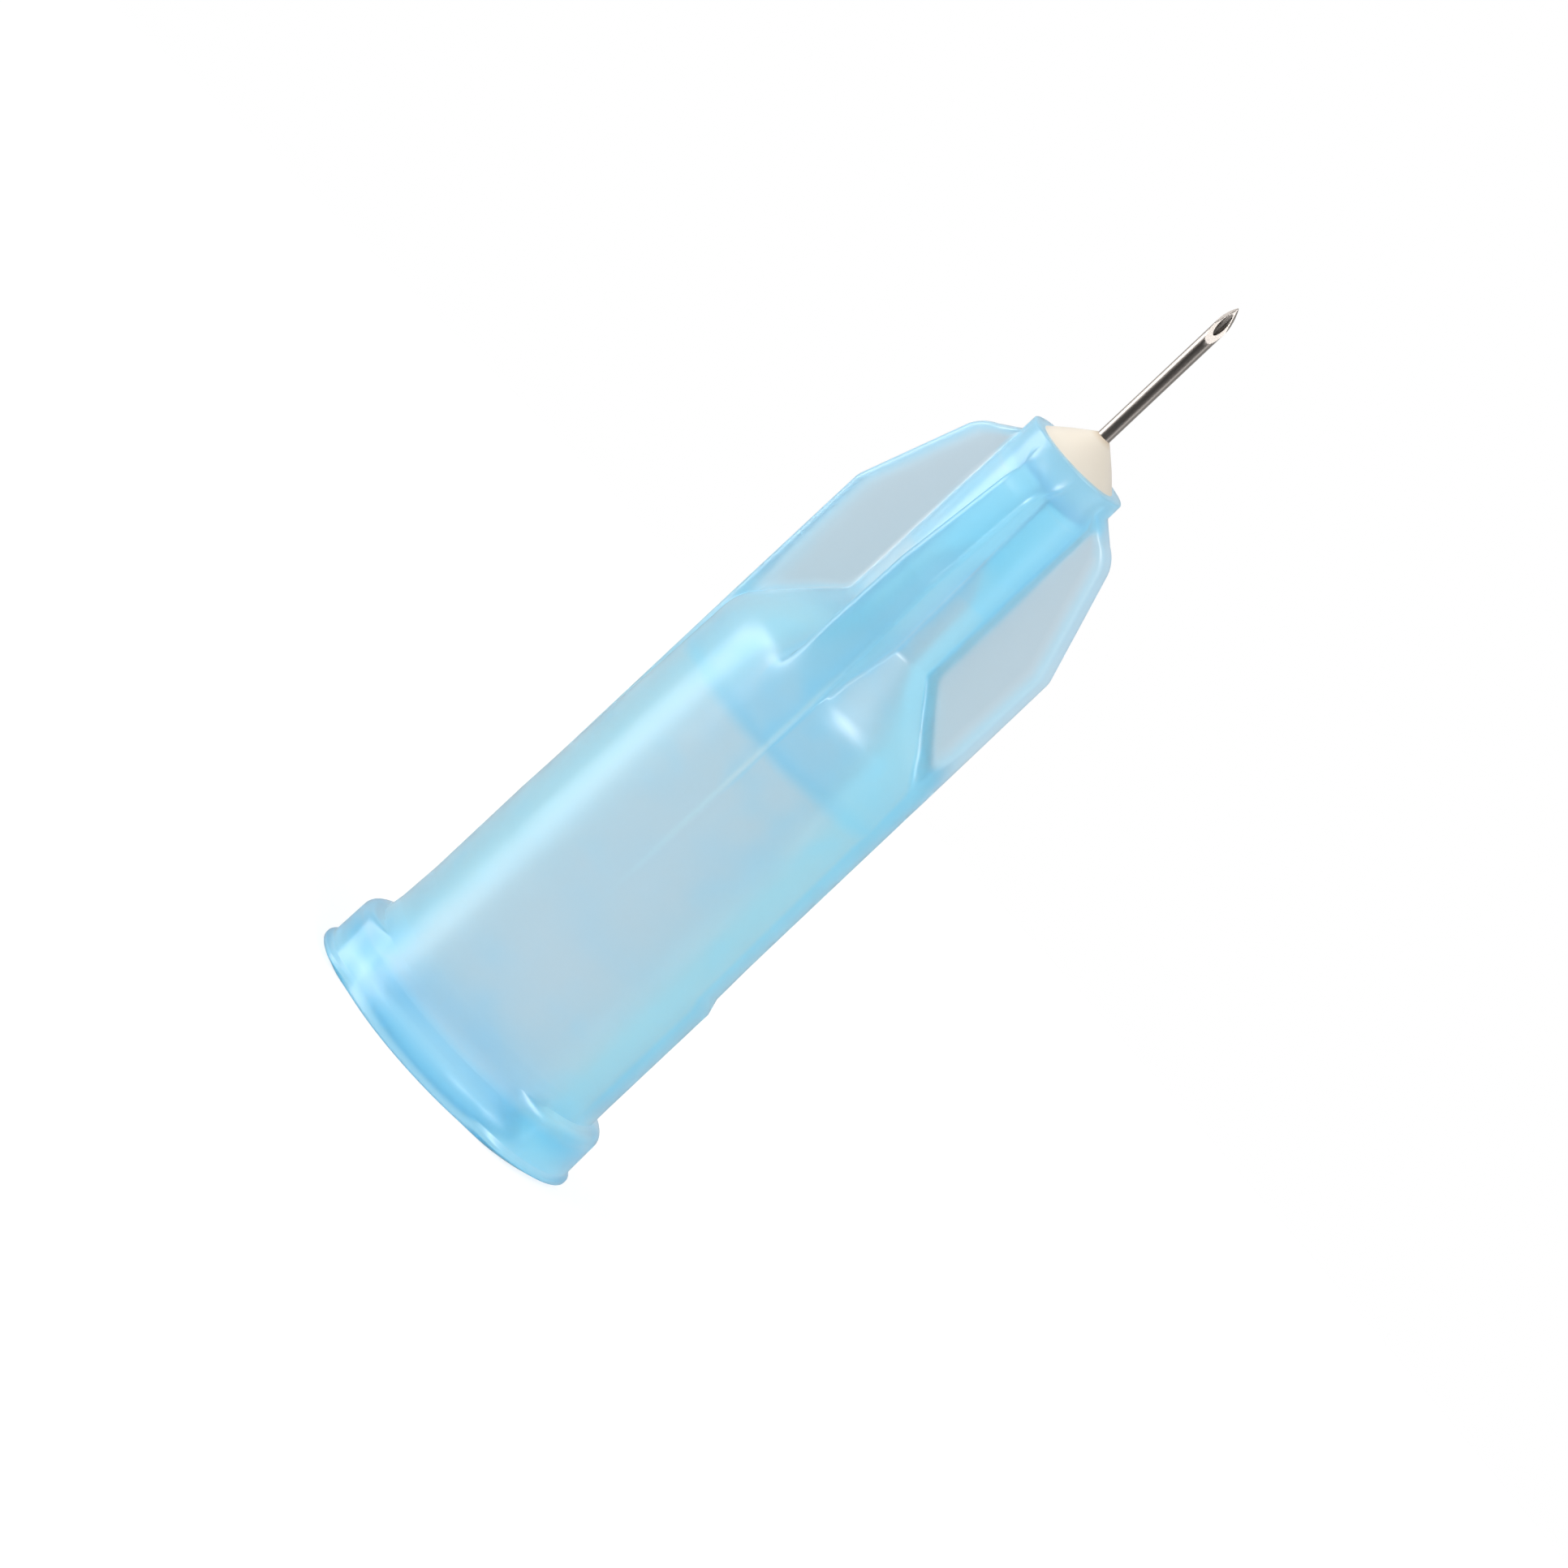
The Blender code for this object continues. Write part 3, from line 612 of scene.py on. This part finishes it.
def plastic_depth_tree():
    """Geometry nodes that store the plastic's depth behind each point: its wall, and half of what follows."""
    tree, into = new_tree("plastic_depth", {
        "Reach": "Float", "Inset": "Float", "Blur": "Int", "Material": "Material"})
    normal = add_node(tree, "GeometryNodeInputNormal")
    inward = add_node(tree, "ShaderNodeVectorMath", {0: normal, "Scale": -1.0}, operation="SCALE")
    step = add_node(tree, "ShaderNodeVectorMath", {0: inward, "Scale": into["Inset"]}, operation="SCALE")
    start = add_node(tree, "GeometryNodeInputPosition")
    crossed = []
    for _ in range(2):
        begin = add_node(tree, "ShaderNodeVectorMath", {0: start, 1: step}, operation="ADD")
        hit = add_node(tree, "GeometryNodeRaycast", {
            "Target Geometry": into["Geometry"], "Source Position": begin, "Ray Direction": inward,
            "Ray Length": into["Reach"]}).node.outputs
        crossed.append(add_node(tree, "GeometryNodeSwitch", {
            "Switch": hit["Is Hit"], "False": into["Reach"], "True": hit["Hit Distance"]},
            input_type="FLOAT"))
        start = hit["Hit Position"]
    wall, air = crossed
    both = add_node(tree, "ShaderNodeMath", {0: wall, 1: air}, operation="ADD")
    left = add_node(tree, "ShaderNodeMath", {0: into["Reach"], 1: both}, operation="SUBTRACT")
    beyond = add_node(tree, "ShaderNodeMath", {0: left, 1: 0.0}, operation="MAXIMUM")
    depth = add_node(tree, "ShaderNodeMath", {0: beyond, 1: 0.5, 2: wall}, operation="MULTIPLY_ADD")
    blurred = add_node(tree, "GeometryNodeBlurAttribute", {"Value": depth, "Iterations": into["Blur"]})
    stored = add_node(tree, "GeometryNodeStoreNamedAttribute", {
        "Geometry": into["Geometry"], "Name": "plastic_depth", "Value": blurred}, domain="POINT")
    return end_tree(tree, stored, into["Material"])


def turned_nodes(tree, into):
    """Turns a closed section about the axis: x is the radius past the guide circle, y runs down the axis."""
    guide = add_node(tree, "GeometryNodeCurvePrimitiveCircle", {
        "Resolution": into["Steps"], "Radius": into["Guide radius"]})
    section = add_node(tree, "GeometryNodeMeshToCurve", {"Mesh": into["Geometry"]})
    return add_node(tree, "GeometryNodeCurveToMesh", {"Curve": guide, "Profile Curve": section})


def turned_tree():
    tree, into = new_tree("turned_ring", {"Guide radius": "Float", "Steps": "Int", "Material": "Material"})
    return end_tree(tree, turned_nodes(tree, into), into["Material"])


def lancet_tree():
    """Geometry nodes that turn the tube and grind its end: nothing stands above any of the three facets."""
    sizes = ("Guide radius", "Tube radius", "Point", "Facing", "Bevel angle", "Facet angle", "Facet turn",
             "Facet depth")
    tree, into = new_tree("lancet_point", {
        **dict.fromkeys(sizes, "Float"), "Steps": "Int", "Material": "Material"})
    tube = turned_nodes(tree, into)
    position = add_node(tree, "GeometryNodeInputPosition")
    where = add_node(tree, "ShaderNodeSeparateXYZ", {0: position}).node.outputs
    height = where["Z"]
    for side, tilt in ((0, "Bevel angle"), (1, "Facet angle"), (-1, "Facet angle")):
        turn = add_node(tree, "ShaderNodeMath", {0: into["Facet turn"], 1: float(side)}, operation="MULTIPLY")
        facing = add_node(tree, "ShaderNodeMath", {0: turn, 1: into["Facing"]}, operation="ADD")
        east = add_node(tree, "ShaderNodeMath", {0: facing}, operation="COSINE")
        north = add_node(tree, "ShaderNodeMath", {0: facing}, operation="SINE")
        out = add_node(tree, "ShaderNodeMath", {0: where["X"], 1: east}, operation="MULTIPLY")
        out = add_node(tree, "ShaderNodeMath", {0: where["Y"], 1: north, 2: out}, operation="MULTIPLY_ADD")
        lean = add_node(tree, "ShaderNodeMath", {0: turn}, operation="COSINE")
        far = add_node(tree, "ShaderNodeMath", {0: lean, 1: into["Tube radius"], 2: out},
                       operation="MULTIPLY_ADD")
        rise = add_node(tree, "ShaderNodeMath", {0: into[tilt]}, operation="TANGENT")
        drop = add_node(tree, "ShaderNodeMath", {0: far, 1: rise}, operation="DIVIDE")
        depth = add_node(tree, "ShaderNodeMath", {0: into["Facet depth"], 1: float(abs(side)), 2: drop},
                         operation="MULTIPLY_ADD")
        plane = add_node(tree, "ShaderNodeMath", {0: into["Point"], 1: depth}, operation="SUBTRACT")
        height = add_node(tree, "ShaderNodeMath", {0: height, 1: plane}, operation="MINIMUM")
    ground = add_node(tree, "ShaderNodeCombineXYZ", {"X": where["X"], "Y": where["Y"], "Z": height})
    pointed = add_node(tree, "GeometryNodeSetPosition", {"Geometry": tube, "Position": ground})
    return end_tree(tree, pointed, into["Material"])


def grow(obj, tree, inputs):
    """Runs a geometry nodes tree on an object and leaves the result as its plain mesh."""
    step = obj.modifiers.new(tree.name, "NODES")
    step.node_group = tree
    for item in tree.interface.items_tree:
        if item.in_out == "INPUT" and item.name in inputs:
            step[item.identifier] = inputs[item.name]
    bpy.context.view_layer.update()
    made = bpy.data.meshes.new_from_object(obj.evaluated_get(bpy.context.evaluated_depsgraph_get()))
    obj.modifiers.clear()
    obj.data = made
    made.name = obj.name
    return obj


def new_object(name, data):
    obj = bpy.data.objects.new(name, data)
    bpy.context.collection.objects.link(obj)
    return obj


def section_piece(name, section):
    """Object that holds a closed (r, z) section as a loop of edges, and the radius of its guide circle."""
    total = len(section)
    guide = sum(r for r, _ in section) / total
    mesh = bpy.data.meshes.new(name)
    loop = [(i, (i + 1) % total) for i in range(total)]
    mesh.from_pydata([(r - guide, -z, 0) for r, z in section], loop, [])
    return new_object(name, mesh), guide


def finish_piece(obj, node, sharp):
    """Smooths a finished piece up to an edge angle and hands it to the frame in place of its CAD node."""
    outwards(obj.data)
    obj.data.shade_smooth()
    obj.data.set_sharp_from_angle(angle=math.radians(sharp))
    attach(obj, BODY)
    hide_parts(node)


def new_material(name):
    mat = bpy.data.materials.new(name)
    mat.use_nodes = True
    mat.node_tree.nodes.clear()
    return mat, mat.node_tree


def place_nodes(tree):
    """Object coordinates, and the height in them."""
    where = add_node(tree, "ShaderNodeTexCoord", output="Object")
    return where, add_node(tree, "ShaderNodeSeparateXYZ", {0: where}, output="Z")


def blue_polypropylene(settings):
    """Moulded polypropylene, dyed blue: a smooth glossy skin over plastic that blurs what shows through."""
    s, socket_floor = settings.finish, settings.cavity.socket_depth
    mat, tree = new_material("blue_polypropylene")
    window_painted_shade, border, depth, line = [
        add_node(tree, "ShaderNodeAttribute", output="Fac", attribute_name=name)
        for name in ("fin_window_painted_shade", "fin_border_painted_shade", "plastic_depth", "edge_painted_highlight")]
    where, height = place_nodes(tree)

    # Milky clouds 1.5 mm across, as flow leaves them, shift the depth at which the plastic turns blue
    clouds = add_node(tree, "ShaderNodeTexNoise", {"Vector": where, "Scale": 1 / (1.5 * MM), "Detail": 1.0})
    uneven = add_node(tree, "ShaderNodeMapRange", {"Value": clouds, "To Min": -s.clouds, "To Max": s.clouds})
    clouded = add_node(tree, "ShaderNodeMath", {0: depth, 1: uneven}, operation="ADD")
    deep = add_node(tree, "ShaderNodeMapRange", {
        "Value": clouded, "From Min": s.thin_wall, "From Max": s.thick_wall}, interpolation_type="SMOOTHSTEP")

    # The collar, the rim and a ring at the socket's floor are as blue as deep plastic
    collar, rear, rim, ring, settle, fade = [
        add_node(tree, "ShaderNodeMapRange", {
            "Value": height, "From Min": base + start, "From Max": base + end,
            "To Min": before, "To Max": after}, interpolation_type=kind)
        for kind, base, (start, end, before, after) in (
            ("SMOOTHSTEP", 0, COLLAR_CHANGE), ("SMOOTHSTEP", 0, REAR_CHANGE), ("SMOOTHSTEP", 0, RIM_CHANGE),
            ("SMOOTHSTEP", socket_floor, RING_START), ("SMOOTHSTEP", socket_floor, RING_SETTLE),
            ("LINEAR", socket_floor, RING_END))]
    for change in (settle, fade):
        ring = add_node(tree, "ShaderNodeMath", {0: ring, 1: change}, operation="MULTIPLY")
    # The fins' border is painted shade, the deeper blue of light that runs a long way through them; it joins
    # the blue of deep plastic here
    full = deep
    for part in (border, collar, rim, ring):
        full = add_node(tree, "ShaderNodeMath", {0: full, 1: part}, operation="MAXIMUM")
    # Over the blue go a painted shade, grey on the fins along X, and a painted highlight, white along the
    # ribs' sharp edges
    tint = rgba(s.thin)
    for part, over in (full, rgba(s.thick)), (window_painted_shade, rgba(s.window_painted_shade)), (rear, rgba(s.rear)), (line, WHITE):
        tint = add_node(tree, "ShaderNodeMix", {"Factor": part, "A": tint, "B": over}, data_type="RGBA")

    # The skin's unevenness is finer than the render can show, so it is drawn as low ripples 0.4 mm apart
    peel = add_node(tree, "ShaderNodeTexNoise", {"Vector": where, "Scale": 1 / (0.4 * MM), "Detail": 2.0})
    skin = add_node(tree, "ShaderNodeBump", {"Height": peel, "Strength": 0.25, "Distance": 0.01 * MM})

    # A low IOR keeps what shows through the body soft; the coat has polypropylene's own and gives the gloss
    shader = add_node(tree, "ShaderNodeBsdfPrincipled", {
        "Base Color": tint, "Roughness": s.haze, "IOR": 1.2, "Transmission Weight": s.clarity, "Normal": skin,
        "Coat Weight": 1.0, "Coat Roughness": s.skin, "Coat IOR": 1.49, "Coat Normal": skin})
    dye = add_node(tree, "ShaderNodeVolumeAbsorption", {"Color": (0.0, 0.85, 0.985, 1), "Density": 218.0})
    add_node(tree, "ShaderNodeOutputMaterial", {"Surface": shader, "Volume": dye})
    return mat


def cured_epoxy(s):
    """Cured epoxy, poured and left to level: cream and a little glossy; in the well it is painted pale blue,
    for the blue light that the hub gives it.
    """
    mat, tree = new_material("cured_epoxy")
    height = place_nodes(tree)[1]
    tint = rgba(s.foot)
    # Painted light first: the resin in the well is bluish, for the light of the blue hub; above the rim it
    # turns to the resin's cream, and warm at the top
    for start, end, over, kind in (
            (RESIN_FLOOR + 0.1 * MM, RESIN_FLOOR + 0.7 * MM, s.clear, "SMOOTHSTEP"),
            (HUB_LENGTH - 0.12 * MM, HUB_LENGTH + 0.02 * MM, s.cream, "LINEAR"),
            (DOME_TOP - 0.12 * MM, DOME_TOP, s.warm, "LINEAR")):
        part = add_node(tree, "ShaderNodeMapRange", {"Value": height, "From Min": start, "From Max": end},
                        interpolation_type=kind)
        tint = add_node(tree, "ShaderNodeMix", {"Factor": part, "A": tint, "B": rgba(over)}, data_type="RGBA")
    shader = add_node(tree, "ShaderNodeBsdfPrincipled", {"Base Color": tint, "Roughness": 0.3, "IOR": 1.55})
    add_node(tree, "ShaderNodeOutputMaterial", {"Surface": shader})
    return mat


def stainless_steel(s):
    """Drawn, electropolished stainless tube: bright, with faint lines along it; dull and pale where glued,
    painted light so that the tube inside the hub shows soft and bright through the milky plastic instead of
    dark.
    """
    mat, tree = new_material("stainless_steel")
    where, height = place_nodes(tree)

    # The lines that drawing leaves are a few microns apart; they are 0.04 mm apart here, so that they show
    drawn = add_node(tree, "ShaderNodeMapping", {"Vector": where, "Scale": (1, 1, 0.02)})
    lines = add_node(tree, "ShaderNodeTexNoise", {"Vector": drawn, "Scale": 1 / (0.04 * MM), "Detail": 3.0})
    # Painted light: inside the hub the tube is pale and dull
    glued = add_node(tree, "ShaderNodeMapRange", {
        "Value": height, "From Min": HUB_LENGTH, "From Max": HUB_LENGTH - 0.3 * MM})
    tint = add_node(tree, "ShaderNodeMix", {"Factor": glued, "A": rgba(s.steel), "B": rgba(s.pale_painted_light)},
                    data_type="RGBA")
    drawn_rough = add_node(tree, "ShaderNodeMapRange", {"Value": lines, "To Min": 0.32, "To Max": 0.44})
    rough = add_node(tree, "ShaderNodeMix", {"Factor": glued, "A": drawn_rough, "B": 0.9}, data_type="FLOAT")
    shader = add_node(tree, "ShaderNodeBsdfPrincipled", {
        "Base Color": tint, "Metallic": 1.0, "Roughness": rough})
    add_node(tree, "ShaderNodeOutputMaterial", {"Surface": shader})
    return mat


class NEEDLE_OT_hub(Operator):
    """Moulds the blue hub as one closed skin and notes how deep its plastic is at each point"""
    bl_idname = "needle.hub"
    bl_label = "Hub"

    def execute(self, context):
        settings = context.scene.needle
        finish = settings.finish
        hub = new_object("hub_moulding", hub_mesh(settings))
        grow(hub, plastic_depth_tree(), {
            "Reach": finish.depth_reach, "Inset": 0.002 * MM, "Blur": finish.depth_blur,
            "Material": blue_polypropylene(settings)})
        finish_piece(hub, "hub", 60)
        return {"FINISHED"}


class NEEDLE_OT_resin(Operator):
    """Fills the well with cream resin that rises round the cannula"""
    bl_idname = "needle.resin"
    bl_label = "Resin"

    def execute(self, context):
        settings = context.scene.needle
        s, well = settings.resin, settings.cavity
        bore = CANNULA_RADIUS - LAP
        foot = CANNULA_RADIUS + LAP
        top = (foot + s.meniscus_width, DOME_TOP - s.meniscus_height)
        rim = (well.well_radius + LAP, HUB_LENGTH)
        belly = ((rim[0] + top[0]) / 2 + s.crown, (rim[1] + top[1]) / 2 + s.crown)
        wall = (rim[0] - well.well_draft, HUB_LENGTH - well.well_depth + 0.01 * MM)
        section = [(bore, DOME_TOP), (foot, DOME_TOP)]
        section += rounded((foot, DOME_TOP), top, belly, 0.10 * MM, 6)
        section += rounded(top, belly, rim, GENTLE_BEND, 10)
        section += [rim, wall, (bore, RESIN_FLOOR)]
        resin, guide = section_piece("resin_dome", section)
        grow(resin, turned_tree(), {"Guide radius": guide, "Steps": s.steps, "Material": cured_epoxy(s)})
        finish_piece(resin, "resin_plug", 40)
        return {"FINISHED"}


class NEEDLE_OT_cannula(Operator):
    """Draws the steel tube and grinds its lancet point"""
    bl_idname = "needle.cannula"
    bl_label = "Cannula"

    def execute(self, context):
        s = context.scene.needle.cannula
        edge = 0.01 * MM
        outer, start = CANNULA_RADIUS, CANNULA_START
        heel = POINT - 2 * outer / math.tan(s.bevel_angle) - 0.05 * MM
        rings = 6
        blank = POINT + 0.1 * MM
        section = [(s.lumen + (outer - s.lumen) * i / rings, blank) for i in range(rings + 1)]
        section += [(outer, heel), (outer, start + edge), (outer - edge, start), (s.lumen + edge, start),
                    (s.lumen, start + edge), (s.lumen, heel)]
        tube, guide = section_piece("cannula_tube", section)
        grow(tube, lancet_tree(), {
            "Guide radius": guide, "Steps": s.steps, "Tube radius": outer, "Point": HUB_LENGTH + s.reach,
            "Facing": s.bevel_facing, "Bevel angle": s.bevel_angle, "Facet angle": s.lancet_angle,
            "Facet turn": s.lancet_turn, "Facet depth": s.lancet_depth, "Material": stainless_steel(s)})
        finish_piece(tube, "cannula", 25)
        return {"FINISHED"}


def facing(azimuth, elevation):
    """Unit vectors right, up and back of an upright camera that looks along +Y at azimuth 0."""
    right = Vector((math.cos(azimuth), math.sin(azimuth), 0))
    back = Vector((math.sin(azimuth) * math.cos(elevation), -math.cos(azimuth) * math.cos(elevation),
                   math.sin(elevation)))
    return right, back.cross(right), back


def facing_matrix(axes, place):
    """Matrix that sets a lamp or the camera up at a place, from its right, up and back axes."""
    return Matrix.Translation(place) @ Matrix(axes).transposed().to_4x4()


def softbox(name, azimuth, elevation, size, brightness, gloss_only):
    """Rectangular lamp that faces the needle; it isn't seen through the plastic."""
    axes = facing(math.radians(azimuth), math.radians(elevation))
    lamp = bpy.data.lights.new(name, "AREA")
    lamp.shape = "RECTANGLE"
    lamp.size, lamp.size_y = size
    lamp.energy = brightness * math.pi * size[0] * size[1]
    obj = new_object(name, lamp)
    obj.matrix_world = facing_matrix(axes, axes[2] * LAMP_DISTANCE + LAMP_TARGET)
    obj.visible_transmission = False
    obj.visible_diffuse = not gloss_only


def set_up_camera(s):
    right, up, back = facing(s.azimuth, s.elevation)
    aim = Vector((0, 0, s.aim_height)) + right * s.aim_right + up * s.aim_up
    across = right * math.cos(s.roll) + up * math.sin(s.roll)
    upwards = up * math.cos(s.roll) - right * math.sin(s.roll)
    data = bpy.data.cameras.new("camera")
    data.sensor_width = 36
    data.lens = s.lens
    data.clip_start = 0.01
    camera = new_object("camera", data)
    camera.matrix_world = facing_matrix((across, upwards, back), aim + back * s.distance)
    bpy.context.scene.camera = camera


def seen_nodes(tree):
    """Outputs of a Light Path node, and 1 for what the camera sees, directly or through the plastic."""
    path = tree.nodes.new("ShaderNodeLightPath").outputs
    return path, add_node(tree, "ShaderNodeMath", {
        0: path["Is Camera Ray"], 1: path["Is Transmission Ray"]}, operation="MAXIMUM")


def set_up_room(s):
    """World: white behind the needle and through it; gloss shows white sides and a dark room before it."""
    world = bpy.data.worlds.new("studio")
    world.use_nodes = True
    tree = world.node_tree
    tree.nodes.clear()
    path, seen = seen_nodes(tree)
    where = add_node(tree, "ShaderNodeTexCoord", output="Generated")
    front = facing(s.azimuth, 0)[2]
    ahead = add_node(tree, "ShaderNodeVectorMath", {0: where, 1: front}, output="Value",
                     operation="DOT_PRODUCT")
    height = add_node(tree, "ShaderNodeSeparateXYZ", {0: where}, output="Z")
    sides, behind, under = [
        add_node(tree, "ShaderNodeMapRange", {
            "Value": value, "From Min": start, "From Max": end, "To Min": before, "To Max": after},
            interpolation_type=kind)
        for value, (start, end, before, after), kind in (
            (ahead, SIDES_LEVEL, "SMOOTHSTEP"), (ahead, BEHIND_LEVEL, "SMOOTHSTEP"),
            (height, UNDER_LEVEL, "LINEAR"))]
    round_about = add_node(tree, "ShaderNodeMath", {0: sides, 1: behind}, operation="ADD")
    mirrored = add_node(tree, "ShaderNodeMath", {0: round_about, 1: under}, operation="MULTIPLY")
    level = add_node(tree, "ShaderNodeMix", {
        "Factor": path["Is Glossy Ray"], "A": s.diffuse_level, "B": mirrored}, data_type="FLOAT")
    strength = add_node(tree, "ShaderNodeMix", {"Factor": seen, "A": level, "B": 1.0}, data_type="FLOAT")
    light = add_node(tree, "ShaderNodeBackground", {"Color": WHITE, "Strength": strength})
    add_node(tree, "ShaderNodeOutputWorld", {"Surface": light})
    bpy.context.scene.world = world


def pale_card(s):
    """White card: matt, with a glow that the camera sees, so that it ends in the white of the room."""
    mat, tree = new_material("pale_card")
    part = add_node(tree, "ShaderNodeMath", {0: seen_nodes(tree)[1], 1: s.glow_share}, operation="MULTIPLY")
    card = add_node(tree, "ShaderNodeBsdfDiffuse", {"Color": rgba(s.pale)})
    glow = add_node(tree, "ShaderNodeEmission", {"Color": WHITE, "Strength": s.glow})
    both = add_node(tree, "ShaderNodeMixShader", {0: part, 1: card, 2: glow})
    add_node(tree, "ShaderNodeOutputMaterial", {"Surface": both})
    return mat


class NEEDLE_OT_stage(Operator):
    """Lays the pale floor, hangs the lights and sets up the camera"""
    bl_idname = "needle.stage"
    bl_label = "Stage"

    def execute(self, context):
        s = context.scene.needle.stage
        mesh = bpy.data.meshes.new("floor")
        ring = arc((0, 0), s.floor_radius, 0, 2 * math.pi, 96)[:-1]
        mesh.from_pydata([(x, y, 0) for x, y in ring], [], [range(len(ring))])
        mesh.materials.append(pale_card(s))
        floor = new_object("floor", mesh)
        floor.visible_glossy = False
        turned = math.degrees(s.azimuth)
        for lamps, gloss_only in ((LAMPS, False), (GLINT_LAMPS, True)):
            for name, (azimuth, elevation, width, height, brightness) in lamps.items():
                softbox(name, turned + azimuth, elevation, (width, height), brightness, gloss_only)
        set_up_room(s)
        set_up_camera(s)
        return {"FINISHED"}


class NEEDLE_PT_panel(Panel):
    """Lists the steps that build the needle"""
    bl_label = "Mesotherapy needle"
    bl_idname = "NEEDLE_PT_panel"
    bl_space_type = "VIEW_3D"
    bl_region_type = "UI"
    bl_category = "Needle"

    def draw(self, context):
        for step in STEPS:
            self.layout.operator(step.bl_idname, text=step.bl_label)
        for group in ("barrel", "fin", "lug", "cavity", "finish", "resin", "cannula", "stage"):
            settings = getattr(context.scene.needle, group)
            box = self.layout.box()
            for name in settings.bl_rna.properties.keys():
                if name not in ("rna_type", "name"):
                    box.prop(settings, name)


STEPS = (NEEDLE_OT_stage, NEEDLE_OT_hub, NEEDLE_OT_resin, NEEDLE_OT_cannula)
CLASSES = (BarrelSettings, FinSettings, LugSettings, CavitySettings, HubFinish, ResinSettings,
           CannulaSettings, StageSettings, NeedleSettings) + STEPS + (NEEDLE_PT_panel,)


def register():
    for cls in CLASSES:
        bpy.utils.register_class(cls)
    bpy.types.Scene.needle = PointerProperty(type=NeedleSettings)


def unregister():
    del bpy.types.Scene.needle
    for cls in reversed(CLASSES):
        bpy.utils.unregister_class(cls)


def main():
    register()
    bpy.context.scene.view_settings.view_transform = "Standard"
    bpy.ops.needle.stage()
    bpy.ops.needle.hub()
    bpy.ops.needle.resin()
    bpy.ops.needle.cannula()


if __name__ == "__main__":
    main()
